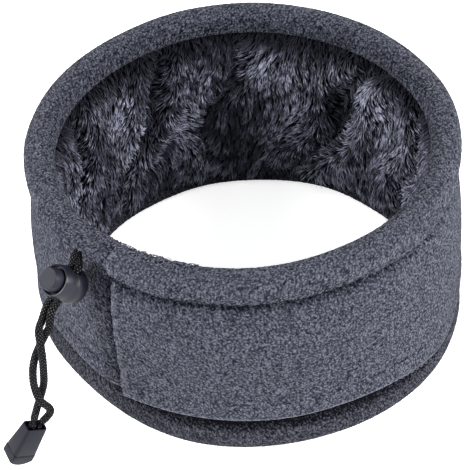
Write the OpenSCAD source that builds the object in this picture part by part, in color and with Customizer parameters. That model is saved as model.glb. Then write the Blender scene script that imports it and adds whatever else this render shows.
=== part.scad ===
// Neck gaiter: a fleece tube with a plush lining, a drawcord casing round its top,
// a bottom band, and a drawcord that leaves the casing at the wearer's side, runs
// through a push-button cord lock and ends in a snap-together cord end.
// Z is up, the origin is the middle of the ring at the bottom of the band.

/* [Gaiter] */
// Outer diameter over the drawcord casing
outer_d = 170; // [164:1:176]
// Height from the bottom band to the top of the casing
height = 92; // [88:1:96]
// Radial thickness of the rolled casing
casing_t = 12; // [11:0.5:13]
// Height of the casing from its stitched groove to the top
casing_h = 14; // [13:0.5:15]
// Height of the bottom band
band_h = 18; // [16:0.5:20]
// Radial thickness of the bottom band
band_t = 9.5; // [9:0.5:10]
// Clear inner diameter of the plush lining
lining_d = 142; // [140:1:144]

/* [Drawcord] */
// Diameter of the braided drawcord
cord_d = 3.2; // [2.8:0.1:3.2]

/* [Cord lock] */
// Diameter of the ball of the cord lock
ball_d = 14.8; // [14.6:0.1:15.4]
// Diameter of the push button
button_d = 9.4; // [9:0.1:9.4]
// Diameter of the button's face, which is narrower than its foot
button_face_d = 7.6; // [7.2:0.1:8.4]
// Height of the button's face above the middle of the ball
button_top = 12.3; // [12:0.1:13]
// How far the button can be pressed
press_travel = 3; // [2:0.25:3]
// Wire diameter of the spring
wire_d = 0.5; // [0.4:0.05:0.5]

/* [Cord end] */
// Width of the cord end
end_w = 9.6; // [9.4:0.1:10]
// Thickness of the cord end
end_t = 5.8; // [5.8:0.1:6.4]
// Length of the cord end with its lid
end_l = 20; // [18:0.5:20]

/* [Hidden] */
$fn = 96;
fleece = [0.34, 0.35, 0.39];
fleece_dark = [0.25, 0.26, 0.29];
plush = [0.22, 0.22, 0.25];
thread = [0.16, 0.16, 0.19];
braid = [0.06, 0.06, 0.07];
plastic = [0.22, 0.22, 0.26];
steel = [0.7, 0.7, 0.72];

// Rings of the gaiter
outer_r = outer_d / 2;
casing_r = casing_t / 2;               // radius of the casing's rounded top
casing_z = height - casing_h;          // the groove where the casing is stitched down
lining_r = lining_d / 2;
lining_t = 8;                          // pile and backing of the lining
lining_edge_t = 3.5;                   // where it laps onto the casing and the band
lap_r = lining_r + lining_edge_t;
lining_top = casing_z + 5;
lining_bottom = band_h - 7;
shell_inner_r = lining_r + lining_t;
shell_r = outer_r - 0.4;               // at the widest place of the bulge
bulge_r = 240;                         // curve of the shell from top to bottom
bulge_z = 42;                          // height of the widest place
band_r = outer_r - 2.5;
band_round = 3;                        // rounded lower edges of the band
thread_r = 0.35;
thread_proud = 0.3;                    // the thread lies this far off the fleece
seam_turn = -127;                      // the shell's upright seam, round the ring
seam_r = 0.9;                          // hollow of the upright seam

// Channel in the casing, and the hole the drawcord comes out of
cord_r = cord_d / 2;
channel_r = 2.2;
loop_r = outer_r - 5.5;
loop_z = height - casing_r;
exit_turn = -138.4;                    // where the cord comes out, round the ring
exit_r = outer_r - 0.7;
exit_z = loop_z + 0.5;
exit_room = channel_r + 0.3;           // half the height of the hole inside the casing
exit_w = 11.2;                         // width of the hole inside the casing
exit_deep = 10;
swing_gap = 2;                         // the strands' swing, either side of the middle
swing_drop = 0.6;
swing_mouth = 3.8;                     // the hole's radius inside, and on the outside
swing_flare = 6;
swing_l = 5;
swing_in = 1.7;                        // how far inside the exit the swing's room starts
strand_gap = 1.65;                     // half the distance between the two strands
elbow_r = 1.9;                         // the loop's ends turn outwards in the casing
elbow_turn = 180 / PI * (strand_gap + elbow_r) / loop_r;

// Cord lock: it hangs against the gaiter's side, its button out and up
lock_at = [-67.5, -63.5, 76];
lock_turn = -143;                      // the side it faces, round the ring
lock_tilt = 46;                        // the button's axis above the horizontal
ball_r = ball_d / 2;
collar_top = 8.6;
collar_r = 6.2;
collar_foot = 1.5;
socket_r = 5.3;
socket_depth = 1.1;
button_r = button_d / 2;
button_face_r = button_face_d / 2;
button_cone_z = 8.9;                   // the button narrows above here, outside the barrel
button_edge = 0.5;
barrel_r = button_r + 0.1;
barrel_foot = -4.8;
seat_z = -6;                           // the spring's seat, in a narrower pocket
bore_z = 2.2;                          // the cords pass above the ball's middle
bore_r = 1.9;
bore_half = 1.75;
plunger_foot = -1.4;
pocket_r = 3;
pocket_top = -0.4;
slot_foot = bore_z - cord_r - 0.15;
slot_h = cord_d + press_travel + 0.3;
spring_r = 2.4;
spring_turns = 4.5;

// Cord end: it stands on its tip beside the gaiter
end_at = [-85, -82.5, 21];             // the middle of its mouth
end_lean = 28;
end_spin = 26;
lid_l = 6.2;
end_wall = 0.8;
end_round = 1.2;
end_pivot = 2;                         // the strands meet the cord end this far above its mouth
lid_round = 0.62;                      // radius of the lid's tip, against the cord end's width
lid_plug_gap = 0.05;
lid_plug_l = 1.6;                      // how far the lid's plug reaches into the shell
knot_r = 2;
knot_z = -6.5;
stub_gap = 0.4;                        // the knot's two ends stop this short of the strands

// The way down the cord through the lock
cord_way = [
    cos(lock_turn) * sin(lock_tilt), sin(lock_turn) * sin(lock_tilt), -cos(lock_tilt)
];
button_way = [
    cos(lock_turn) * cos(lock_tilt), sin(lock_turn) * cos(lock_tilt), sin(lock_tilt)
];
side_way = [-sin(lock_turn), cos(lock_turn), 0];
exit_way = unit([0.6, 0.1, -0.8]);       // from one strand to the other where they come out
exit_at = [exit_r * cos(exit_turn), exit_r * sin(exit_turn), exit_z];

// A strand's route: out of the casing, straight through the lock, then down to the
// cord end, with the two strands twisted once round each other
function in_lock(side, way) =
    lock_at + bore_z * button_way + side * strand_gap * side_way + way * cord_way;
left_route = concat(
    [exit_at - strand_gap * exit_way, [-65.5, -57.8, 85.2]],
    [for (way = [-7.5, -3.5, 0.5, 4.5, 8, 11.5]) in_lock(-1, way)],
    [
        [-78.2, -70.6, 65.6], [-79.3, -72.7, 64], [-79.7, -74.6, 62.3], [-79.4, -76.6, 58.5],
        [-79.2, -77.9, 53.4], [-79.4, -78.5, 47], [-80, -78.6, 39.8], [-81.8, -77.7, 32.6],
        [-83.6, -79.6, 28], [-85.5, -82.8, 23.5]
    ]
);
right_route = concat(
    [exit_at + strand_gap * exit_way, [-62, -60, 82.8]],
    [for (way = [-7.5, -3.5, 0.5, 4.5, 8, 11.5]) in_lock(1, way)],
    [
        [-75.5, -72.5, 64.8], [-75.9, -72.7, 63.1], [-76.9, -72.8, 61.2], [-79.4, -73.5, 56.5],
        [-81.9, -76, 52.2], [-83.4, -78.3, 46.8], [-83.5, -80.2, 40.2], [-82, -81.5, 33.8],
        [-78.6, -81.2, 27.4], [-82.6, -82.2, 22]
    ]
);

// Smooth curve through a route's points
steps = 2;
function at(points, i) = points[max(0, min(len(points) - 1, i))];
function blend_points(a, b, c, d, t) =
    0.5 * (2 * b + (c - a) * t + (2 * a - 5 * b + 4 * c - d) * t * t
        + (3 * b - a - 3 * c + d) * t * t * t);
function smooth(points) = [
    for (i = [0 : len(points) - 2], k = [0 : steps - 1])
        blend_points(at(points, i - 1), points[i], points[i + 1], at(points, i + 2), k / steps),
    points[len(points) - 1]
];
function unit(v) = v / norm(v);
function along(points, i) = unit(at(points, i + 1) - at(points, i - 1));

// One closed tube swept along a line of points
module tube(points, radius, sides) {
    last = len(points) - 1;
    rings = [
        for (i = [0 : last])
            let (way = along(points, i), out = unit(cross(way, [0.3, 0.9, 0.1])),
                up = cross(way, out))
            for (k = [0 : sides - 1])
                points[i] + radius * (cos(360 * k / sides) * out + sin(360 * k / sides) * up)
    ];
    walls = [
        for (i = [0 : last - 1], k = [0 : sides - 1])
            [i * sides + k, (i + 1) * sides + k, (i + 1) * sides + (k + 1) % sides,
                i * sides + (k + 1) % sides]
    ];
    foot = [for (k = [0 : sides - 1]) k];
    head = [for (k = [sides - 1 : -1 : 0]) last * sides + k];
    polyhedron(rings, concat(walls, [foot, head]));
}

// An upright slab between two radii and two heights, turned into a ring
module ring(inner, outer, low, high) {
    rotate_extrude() translate([inner, low]) square([outer - inner, high - low]);
}

// The curve of the shell's side, as a thin bow in the seam's plane
module seam_bow(radius, sink) {
    below = asin((bulge_z - band_h - 1) / bulge_r);
    above = asin((casing_z - bulge_z - 2) / bulge_r);
    middle_r = shell_r - bulge_r;
    translate([middle_r * cos(seam_turn), middle_r * sin(seam_turn), bulge_z])
        rotate([90, 0, seam_turn]) rotate([0, 0, -below])
            rotate_extrude(angle = below + above)
                translate([bulge_r - sink, 0]) circle(radius, $fn = 24);
}

module outer_shell() {
    color(fleece) difference() {
        rotate_extrude() intersection() {
            translate([shell_inner_r, band_h]) square([casing_t, casing_z - band_h]);
            translate([shell_r - bulge_r, bulge_z]) circle(bulge_r, $fn = 720);
        }
        seam_bow(seam_r, 0);
    }
}

module casing_profile() {
    translate([outer_r - casing_r, loop_z]) circle(casing_r);
    translate([outer_r - casing_t, lining_top]) square([casing_t, loop_z - lining_top]);
    translate([lap_r, casing_z]) square([outer_r - lap_r, loop_z - casing_z]);
}

// Room for the drawcord's turn and for the two strands to swing
module exit_hole() {
    rotate([0, 0, exit_turn]) {
        translate([loop_r - exit_room, -exit_w / 2, loop_z - exit_room])
            cube([exit_deep, exit_w, 2 * exit_room]);
        for (side = [-1, 1])
            translate([exit_r - swing_in, side * swing_gap, exit_z - swing_drop])
                rotate([0, 90, 0]) cylinder(swing_l, swing_mouth, swing_flare);
    }
}

module top_casing() {
    color(fleece) difference() {
        rotate_extrude() casing_profile();
        rotate_extrude() translate([loop_r, loop_z]) circle(channel_r);
        ring(lining_r - 1, lap_r, casing_z - 1, lining_top);
        exit_hole();
    }
}

module bottom_band() {
    foot_r = band_r - band_t + band_round;
    color(fleece_dark) difference() {
        rotate_extrude() {
            translate([band_r - band_t, band_round]) square([band_t, band_h - band_round]);
            translate([foot_r, 0]) square([band_t - 2 * band_round, band_round + 1]);
            translate([foot_r, band_round]) circle(band_round);
            translate([band_r - band_round, band_round]) circle(band_round);
        }
        ring(lining_r - 1, lap_r, lining_bottom, band_h + 1);
    }
}

module plush_lining() {
    color(plush) union() {
        ring(lining_r, shell_inner_r, band_h, casing_z);
        ring(lining_r, lap_r, lining_bottom, lining_top);
    }
}

module top_seam_thread() {
    drop = bulge_r - sqrt(pow(bulge_r, 2) - pow(casing_z - bulge_z, 2));
    color(thread) rotate_extrude()
        translate([shell_r - drop + thread_r + thread_proud, casing_z - thread_r - 0.1])
            circle(thread_r, $fn = 24);
}

module bottom_seam_thread() {
    color(thread) rotate_extrude()
        translate([band_r + thread_r + 0.1, band_h - thread_r - 0.1])
            circle(thread_r, $fn = 24);
}

module side_seam_thread() {
    color(thread) seam_bow(thread_r, 0.5);
}

// The loop of drawcord in the casing; its two ends turn out towards the exit hole
module drawcord_loop() {
    color(braid) rotate([0, 0, exit_turn]) union() {
        rotate([0, 0, elbow_turn]) rotate_extrude(angle = 360 - 2 * elbow_turn)
            translate([loop_r, 0, 0]) translate([0, loop_z]) circle(cord_r, $fn = 32);
        for (side = [-1, 1])
            translate([loop_r + elbow_r, side * (strand_gap + elbow_r), loop_z])
                rotate([0, 0, side > 0 ? 180 : 90]) rotate_extrude(angle = 90)
                    translate([elbow_r, 0]) circle(cord_r, $fn = 32);
    }
}

module strand_left() {
    color(braid) tube(smooth(left_route), cord_r, 8);
}

module strand_right() {
    color(braid) tube(smooth(right_route), cord_r, 8);
}

// The lock's own frame: Z along the button, X down the cords
module in_lock_frame() {
    translate(lock_at) rotate([0, 0, lock_turn]) rotate([0, 90 - lock_tilt, 0]) children();
}

module lock_body() {
    foot_wide = sqrt(pow(ball_r, 2) - pow(collar_foot, 2)) - 0.2;
    color(plastic) in_lock_frame() difference() {
        union() {
            sphere(ball_r);
            translate([0, 0, collar_foot])
                cylinder(collar_top - collar_foot, foot_wide, collar_r);
        }
        translate([0, 0, barrel_foot]) cylinder(collar_top - barrel_foot + 1, barrel_r, barrel_r);
        translate([0, 0, seat_z]) cylinder(barrel_foot - seat_z + 1, pocket_r, pocket_r);
        translate([0, 0, collar_top - socket_depth]) cylinder(socket_depth + 1, socket_r, socket_r);
        translate([-ball_r - 1, 0, bore_z]) rotate([0, 90, 0]) cord_bore(2 * ball_r + 2);
    }
}

// The cords' oval hole
module cord_bore(length) {
    linear_extrude(length) union() {
        for (side = [-1, 1]) translate([0, side * bore_half]) circle(bore_r);
        square([2 * bore_r, 2 * bore_half], center = true);
    }
}

module lock_plunger() {
    color(plastic) in_lock_frame() difference() {
        union() {
            translate([0, 0, plunger_foot])
                cylinder(button_cone_z - plunger_foot, button_r, button_r);
            translate([0, 0, button_cone_z])
                cylinder(button_top - button_edge - button_cone_z, button_r, button_face_r);
            translate([0, 0, button_top - button_edge])
                cylinder(button_edge, button_face_r, button_face_r - button_edge);
        }
        translate([0, 0, plunger_foot - 1])
            cylinder(pocket_top - plunger_foot + 1, pocket_r, pocket_r);
        translate([-ball_r, -bore_half - bore_r, slot_foot])
            cube([2 * ball_r, 2 * (bore_half + bore_r), slot_h]);
    }
}

module lock_spring() {
    wire_r = wire_d / 2;
    low = seat_z + wire_r + 0.05;
    rise = pocket_top - wire_r - 0.05 - low;
    around = 14;
    count = spring_turns * around;
    color(steel) in_lock_frame() tube(
        [
            for (i = [0 : count])
                [spring_r * cos(360 * i / around), spring_r * sin(360 * i / around),
                    low + rise * i / count]
        ],
        wire_r, 6
    );
}

// The cord end's own frame: its mouth at the origin, Z out of the mouth
module in_end_frame() {
    translate(end_at) rotate([0, end_lean, 0]) rotate([0, 0, end_spin]) children();
}

module rounded_block(wide, thick, low, high, round) {
    translate([0, 0, low]) linear_extrude(high - low) union() {
        square([wide - 2 * round, thick], center = true);
        square([wide, thick - 2 * round], center = true);
        for (x = [-1, 1], y = [-1, 1])
            translate([x * (wide / 2 - round), y * (thick / 2 - round)]) circle(round, $fn = 32);
    }
}

module cord_end_shell() {
    color(plastic) in_end_frame() difference() {
        rounded_block(end_w, end_t, lid_l - end_l, 0, end_round);
        rounded_block(end_w - 2 * end_wall, end_t - 2 * end_wall, -end_l, 1,
            end_round - end_wall);
    }
}

module cord_end_lid() {
    tip_r = end_w * lid_round;
    plug_w = end_w - 2 * end_wall - 2 * lid_plug_gap;
    plug_t = end_t - 2 * end_wall - 2 * lid_plug_gap;
    color(plastic) in_end_frame() union() {
        intersection() {
            rounded_block(end_w, end_t, -end_l, lid_l - end_l, end_round);
            translate([0, end_t, tip_r - end_l]) rotate([90, 0, 0])
                cylinder(2 * end_t, tip_r, tip_r);
        }
        rounded_block(plug_w, plug_t, lid_l - end_l - 1, lid_l - end_l + lid_plug_l,
            end_round - end_wall);
    }
}

// The strands' ends, tied inside the cord end
module cord_knot() {
    stub_top = end_pivot - cord_r - stub_gap;
    color(braid) in_end_frame() union() {
        translate([0, 0, knot_z]) rotate([90, 0, 0]) rotate_extrude()
            translate([knot_r, 0]) circle(cord_r, $fn = 32);
        for (side = [-1, 1])
            translate([side * strand_gap, 0, knot_z]) cylinder(stub_top - knot_z, cord_r, cord_r);
    }
}

outer_shell();
top_casing();
bottom_band();
plush_lining();
top_seam_thread();
bottom_seam_thread();
side_seam_thread();
drawcord_loop();
strand_left();
strand_right();
lock_body();
lock_plunger();
lock_spring();
cord_end_shell();
cord_end_lid();
cord_knot();
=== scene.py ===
import math
import random

import bmesh
import bpy
import numpy as np
from mathutils import Matrix, Vector


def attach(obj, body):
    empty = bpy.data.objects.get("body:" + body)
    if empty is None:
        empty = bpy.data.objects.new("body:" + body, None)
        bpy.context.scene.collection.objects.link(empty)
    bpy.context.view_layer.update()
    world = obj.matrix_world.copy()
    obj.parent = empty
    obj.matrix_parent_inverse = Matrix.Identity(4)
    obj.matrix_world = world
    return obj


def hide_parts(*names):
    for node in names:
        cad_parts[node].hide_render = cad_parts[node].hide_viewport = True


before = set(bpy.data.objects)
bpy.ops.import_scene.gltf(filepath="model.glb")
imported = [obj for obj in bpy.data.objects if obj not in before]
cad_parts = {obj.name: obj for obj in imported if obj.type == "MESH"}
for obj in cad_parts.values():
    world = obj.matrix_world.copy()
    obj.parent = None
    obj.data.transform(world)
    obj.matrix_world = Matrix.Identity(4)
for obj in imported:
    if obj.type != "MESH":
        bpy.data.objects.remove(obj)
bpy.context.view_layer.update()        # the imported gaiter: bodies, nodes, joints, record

mm = 0.001
bpy.ops.object.select_all(action="DESELECT")


# camera and light
cameraView = {
    "elevation": 42.56,              # degrees above the floor
    "distance": 0.9588,
    "aim": (0, 0, 0.0457),
    "lens": 183.7,
    "roll": 3.29,
    "shift": (-0.0248, -0.0343),
}

studio = {
    "sideSize": 0.8,                 # the two soft boxes beside the camera
    "leftPower": 37,
    "rightPower": 44,
    "sideTurn": 68,                  # degrees from the camera's direction
    "sideLift": 28,
    "sideDistance": 1.5,
    "topSize": 1.2,
    "topPower": 4,
    "topLift": 85,
    "sky": 0.42,
    "floor": (0.94, 0.94, 0.95, 1),
    "floorSize": 6,
    "floorGlow": 0.70,               # how much of the floor the eye sees as lit from below
}


def addNode(tree, kind, **values):
    node = tree.nodes.new(kind)
    for name, value in values.items():
        setattr(node, name, value)
    return node


def makeCamera():
    tilt = math.radians(cameraView["elevation"])
    roll = math.radians(cameraView["roll"])
    right = Vector((1, 0, 0))
    up = Vector((0, math.sin(tilt), math.cos(tilt)))
    back = Vector((0, -math.cos(tilt), math.sin(tilt)))
    sideways = right * math.cos(roll) - up * math.sin(roll)
    upward = right * math.sin(roll) + up * math.cos(roll)
    data = bpy.data.cameras.new("camera")
    data.lens = cameraView["lens"]
    data.sensor_width = 36
    data.shift_x, data.shift_y = cameraView["shift"]
    camera = bpy.data.objects.new("camera", data)
    bpy.context.collection.objects.link(camera)
    place = Vector(cameraView["aim"]) + back * cameraView["distance"]
    turn = Matrix((sideways, upward, back)).transposed().to_4x4()
    camera.matrix_world = Matrix.Translation(place) @ turn
    bpy.context.scene.camera = camera


def makeSoftBox(name, turn, lift, size, power):
    data = bpy.data.lights.new(name, "AREA")
    data.shape = "DISK"
    data.size = size
    data.energy = power
    lamp = bpy.data.objects.new(name, data)
    bpy.context.collection.objects.link(lamp)
    turn, lift = math.radians(turn - 90), math.radians(lift)
    way = Vector((math.cos(turn) * math.cos(lift), math.sin(turn) * math.cos(lift), math.sin(lift)))
    lamp.location = Vector(cameraView["aim"]) + way * studio["sideDistance"]
    lamp.rotation_euler = way.to_track_quat("Z", "Y").to_euler()


def makeStudio():
    for side, turn in (("left", -studio["sideTurn"]), ("right", studio["sideTurn"])):
        power = studio[side + "Power"]
        makeSoftBox("soft_box_" + side, turn, studio["sideLift"], studio["sideSize"], power)
    makeSoftBox("soft_box_top", 0, studio["topLift"], studio["topSize"], studio["topPower"])
    world = bpy.data.worlds.new("studio")
    world.use_nodes = True
    world.node_tree.nodes["Background"].inputs["Color"].default_value = (1, 1, 1, 1)
    world.node_tree.nodes["Background"].inputs["Strength"].default_value = studio["sky"]
    bpy.context.scene.world = world
    bpy.context.scene.view_settings.view_transform = "Standard"
    bpy.ops.mesh.primitive_plane_add(size=studio["floorSize"])
    floor = bpy.context.object
    floor.name = "floor"
    paper = bpy.data.materials.new("floor_paper")
    paper.use_nodes = True
    shader = paper.node_tree.nodes["Principled BSDF"]
    shader.inputs["Base Color"].default_value = studio["floor"]
    shader.inputs["Roughness"].default_value = 0.9
    shader.inputs["Emission Color"].default_value = (1, 1, 1, 1)
    seen = addNode(paper.node_tree, "ShaderNodeLightPath")
    glow = addNode(paper.node_tree, "ShaderNodeMath", operation="MULTIPLY")
    glow.inputs[1].default_value = studio["floorGlow"]
    paper.node_tree.links.new(seen.outputs["Is Camera Ray"], glow.inputs[0])
    paper.node_tree.links.new(glow.outputs["Value"], shader.inputs["Emission Strength"])
    floor.data.materials.append(paper)
    bpy.ops.object.select_all(action="DESELECT")


makeCamera()
makeStudio()
print("camera and light are up")


# shader helpers
def newGroup(name, inputs, outputs):
    group = bpy.data.node_groups.new(name, "ShaderNodeTree")
    for label, kind, value in inputs:
        socket = group.interface.new_socket(label, in_out="INPUT", socket_type=kind)
        if value is not None:
            socket.default_value = value
    for label, kind in outputs:
        group.interface.new_socket(label, in_out="OUTPUT", socket_type=kind)
    return group, group.nodes.new("NodeGroupInput"), group.nodes.new("NodeGroupOutput")


def makeNapGrain():
    # the curled surface of fleece: rounded clumps, with fine fibres over them
    group, given, result = newGroup(
        "nap_grain",
        [("Vector", "NodeSocketVector", None), ("Clump", "NodeSocketFloat", 800.0),
         ("Fibre", "NodeSocketFloat", 1900.0)],
        [("Mottle", "NodeSocketFloat"), ("Height", "NodeSocketFloat")],
    )
    link = group.links.new
    bend = addNode(group, "ShaderNodeTexNoise")
    bend.inputs["Detail"].default_value = 2
    bendBy = addNode(group, "ShaderNodeVectorMath", operation="MULTIPLY_ADD")
    bendBy.inputs[1].default_value = (0.0009, 0.0009, 0.0009)
    clumps = addNode(group, "ShaderNodeTexVoronoi", feature="SMOOTH_F1")
    clumps.inputs["Smoothness"].default_value = 0.35
    dome = addNode(group, "ShaderNodeMapRange")
    dome.inputs["From Min"].default_value = 0.60
    dome.inputs["From Max"].default_value = 0.28
    fibres = addNode(group, "ShaderNodeTexNoise")
    fibres.inputs["Detail"].default_value = 4
    fibres.inputs["Roughness"].default_value = 0.62
    fibres.inputs["Distortion"].default_value = 0.5
    mottle = addNode(group, "ShaderNodeMix", data_type="FLOAT")
    mottle.inputs["Factor"].default_value = 0.72
    link(given.outputs["Vector"], bend.inputs["Vector"])
    link(given.outputs["Clump"], bend.inputs["Scale"])
    link(bend.outputs["Color"], bendBy.inputs[0])
    link(given.outputs["Vector"], bendBy.inputs[2])
    link(bendBy.outputs["Vector"], clumps.inputs["Vector"])
    link(given.outputs["Clump"], clumps.inputs["Scale"])
    link(clumps.outputs["Distance"], dome.inputs["Value"])
    link(given.outputs["Vector"], fibres.inputs["Vector"])
    link(given.outputs["Fibre"], fibres.inputs["Scale"])
    link(dome.outputs["Result"], mottle.inputs["A"])
    link(fibres.outputs["Fac"], mottle.inputs["B"])
    link(mottle.outputs["Result"], result.inputs["Mottle"])
    link(mottle.outputs["Result"], result.inputs["Height"])
    return group


def makeMouldGrain():
    # spark-eroded moulding texture with light rub marks
    group, given, result = newGroup(
        "mould_grain",
        [("Vector", "NodeSocketVector", None), ("Grain", "NodeSocketFloat", 3000.0)],
        [("Grain", "NodeSocketFloat"), ("Rub", "NodeSocketFloat")],
    )
    link = group.links.new
    grain = addNode(group, "ShaderNodeTexNoise")
    grain.inputs["Detail"].default_value = 2
    rub = addNode(group, "ShaderNodeTexNoise")
    rub.inputs["Scale"].default_value = 260
    rub.inputs["Detail"].default_value = 4
    rub.inputs["Roughness"].default_value = 0.65
    for texture in (grain, rub):
        link(given.outputs["Vector"], texture.inputs["Vector"])
    link(given.outputs["Grain"], grain.inputs["Scale"])
    link(grain.outputs["Fac"], result.inputs["Grain"])
    link(rub.outputs["Fac"], result.inputs["Rub"])
    return group


napGrain = makeNapGrain()
mouldGrain = makeMouldGrain()


def startMaterial(name):
    material = bpy.data.materials.new(name)
    material.use_nodes = True
    tree = material.node_tree
    shader = tree.nodes["Principled BSDF"]
    place = addNode(tree, "ShaderNodeTexCoord").outputs["Object"]
    return material, tree, shader, place


def addGroup(tree, group, place, **values):
    node = tree.nodes.new("ShaderNodeGroup")
    node.node_tree = group
    tree.links.new(place, node.inputs["Vector"])
    for name, value in values.items():
        node.inputs[name].default_value = value
    return node


def colourRamp(tree, value, stops):
    ramp = tree.nodes.new("ShaderNodeValToRGB")
    while len(ramp.color_ramp.elements) < len(stops):
        ramp.color_ramp.elements.new(0.5)
    for element, (position, colour) in zip(ramp.color_ramp.elements, stops):
        element.position = position
        element.color = (*colour, 1)
    tree.links.new(value, ramp.inputs["Fac"])
    return ramp.outputs["Color"]


def addBump(tree, shader, height, strength, distance):
    bump = tree.nodes.new("ShaderNodeBump")
    bump.inputs["Strength"].default_value = strength
    bump.inputs["Distance"].default_value = distance
    tree.links.new(height, bump.inputs["Height"])
    tree.links.new(bump.outputs["Normal"], shader.inputs["Normal"])


def mixFloat(tree, a, b, factor):
    mix = addNode(tree, "ShaderNodeMix", data_type="FLOAT")
    mix.inputs["Factor"].default_value = factor
    tree.links.new(a, mix.inputs["A"])
    tree.links.new(b, mix.inputs["B"])
    return mix.outputs["Result"]


def attributeValue(tree, name):
    return addNode(tree, "ShaderNodeAttribute", attribute_name=name).outputs["Fac"]


# materials
fleeceLook = {
    # hollow and curl are partly the fleece's own mottle and partly painted light: painted shade between
    # the curls, painted light on their tops
    "hollow": (0.003, 0.0035, 0.007),    # between the curls
    "middle": (0.033, 0.036, 0.050),
    "curl": (0.098, 0.103, 0.130),       # tops of the curls
    "edge": (0.190, 0.197, 0.235),       # painted highlight along the turned hem lip and the seam lip
    "clump": 1050,                       # curls per metre
    "sheen": 0.26,
    "relief": 0.0009,                    # depth of the nap, in metres
}
# the fleece's colours made darker for the band: painted shade of the band under the shell's hem, with the
# same painted light in its hollow, curl and edge stops
shadedBandLook = {
    "hollow": (0.002, 0.002, 0.004),
    "middle": (0.023, 0.024, 0.032),
    "curl": (0.070, 0.073, 0.090),
    "edge": (0.100, 0.104, 0.125),
    "clump": 1150,
    "sheen": 0.18,
    "relief": 0.0009,
}
plushLook = {
    # root: painted shade deep in the pile
    "root": (0.003, 0.003, 0.006),
    "middle": (0.040, 0.043, 0.066),
    "tip": (0.47, 0.49, 0.63),
}


def makeFleece(name, look):
    material, tree, shader, place = startMaterial(name)
    grain = addGroup(tree, napGrain, place, Clump=look["clump"])
    # the nap attribute carries the curls and also painted shade along the seams, groove and hem and
    # painted highlights on the lips
    nap = mixFloat(tree, grain.outputs["Mottle"], attributeValue(tree, "nap"), 0.28)
    colour = colourRamp(tree, nap, [
        (0.26, look["hollow"]), (0.44, look["middle"]), (0.66, look["curl"]), (0.9, look["edge"]),
    ])
    tree.links.new(colour, shader.inputs["Base Color"])
    shader.inputs["Roughness"].default_value = 0.95
    shader.inputs["Specular IOR Level"].default_value = 0.05
    # sheen weight follows the nap value, so it fades in the painted shade and grows on the painted lips
    tips = addNode(tree, "ShaderNodeMapRange")       # only the tips of the nap catch the light
    tips.inputs["From Min"].default_value = 0.28
    tips.inputs["From Max"].default_value = 0.62
    tips.inputs["To Max"].default_value = look["sheen"]
    tree.links.new(nap, tips.inputs["Value"])
    tree.links.new(tips.outputs["Result"], shader.inputs["Sheen Weight"])
    shader.inputs["Sheen Roughness"].default_value = 0.45
    shader.inputs["Sheen Tint"].default_value = (0.62, 0.64, 0.72, 1)
    addBump(tree, shader, grain.outputs["Height"], 0.9, look["relief"])
    return material


def makePlush():
    material, tree, shader, place = startMaterial("plush_pile")
    shade = attributeValue(tree, "shade")
    colour = colourRamp(tree, shade, [
        (0.0, plushLook["root"]), (0.5, plushLook["middle"]), (1.0, plushLook["tip"]),
    ])
    tree.links.new(colour, shader.inputs["Base Color"])
    shader.inputs["Roughness"].default_value = 0.5
    gloss = addNode(tree, "ShaderNodeMapRange")      # no shine where the shade value is low: painted shade at the roots, in the creases and under the rim
    gloss.inputs["From Max"].default_value = 0.4
    gloss.inputs["To Max"].default_value = 0.34
    tree.links.new(shade, gloss.inputs["Value"])
    tree.links.new(gloss.outputs["Result"], shader.inputs["Specular IOR Level"])
    shader.inputs["Sheen Weight"].default_value = 0.03
    shader.inputs["Sheen Roughness"].default_value = 0.4
    fibre = addNode(tree, "ShaderNodeTexNoise")
    fibre.inputs["Scale"].default_value = 2400
    tree.links.new(place, fibre.inputs["Vector"])
    addBump(tree, shader, fibre.outputs["Fac"], 0.4, 0.0003)
    return material


def makeThread():
    material, tree, shader, place = startMaterial("sewing_thread")
    strands = addNode(tree, "ShaderNodeTexNoise")
    strands.inputs["Scale"].default_value = 5200
    strands.inputs["Detail"].default_value = 2
    tree.links.new(place, strands.inputs["Vector"])
    colour = colourRamp(tree, strands.outputs["Fac"], [
        (0.3, (0.018, 0.019, 0.026)), (0.7, (0.085, 0.090, 0.115)),
    ])
    tree.links.new(colour, shader.inputs["Base Color"])
    shader.inputs["Roughness"].default_value = 0.6
    addBump(tree, shader, strands.outputs["Fac"], 0.5, 0.0002)
    return material


def makeBraid(name, reliefName):
    material, tree, shader, place = startMaterial(name)
    fibres = addNode(tree, "ShaderNodeTexNoise")
    fibres.inputs["Scale"].default_value = 4200
    fibres.inputs["Detail"].default_value = 3
    tree.links.new(place, fibres.inputs["Vector"])
    if reliefName:
        value = mixFloat(tree, attributeValue(tree, reliefName), fibres.outputs["Fac"], 0.35)
    else:
        value = fibres.outputs["Fac"]
    # the brightest stop paints glints on the yarn tops and on specks of the fibre noise: painted
    # highlights
    colour = colourRamp(tree, value, [
        (0.58, (0.0002, 0.0002, 0.0004)), (0.75, (0.0015, 0.0015, 0.0024)),
        (0.85, (0.190, 0.190, 0.205)),
    ])
    tree.links.new(colour, shader.inputs["Base Color"])
    shader.inputs["Roughness"].default_value = 0.5
    shader.inputs["Specular IOR Level"].default_value = 0.06
    addBump(tree, shader, fibres.outputs["Fac"], 0.5, 0.0002)
    return material


def makePlastic(name, dark, light, roughness, shine, grain, strength):
    material, tree, shader, place = startMaterial(name)
    texture = addGroup(tree, mouldGrain, place, Grain=grain)
    colour = colourRamp(tree, texture.outputs["Rub"], [(0.3, dark), (0.75, light)])
    tree.links.new(colour, shader.inputs["Base Color"])
    gloss = addNode(tree, "ShaderNodeMapRange")
    gloss.inputs["To Min"].default_value = roughness - 0.07
    gloss.inputs["To Max"].default_value = roughness + 0.09
    tree.links.new(texture.outputs["Rub"], gloss.inputs["Value"])
    tree.links.new(gloss.outputs["Result"], shader.inputs["Roughness"])
    shader.inputs["Specular IOR Level"].default_value = shine
    addBump(tree, shader, texture.outputs["Grain"], strength, 0.0001)
    return material


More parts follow.
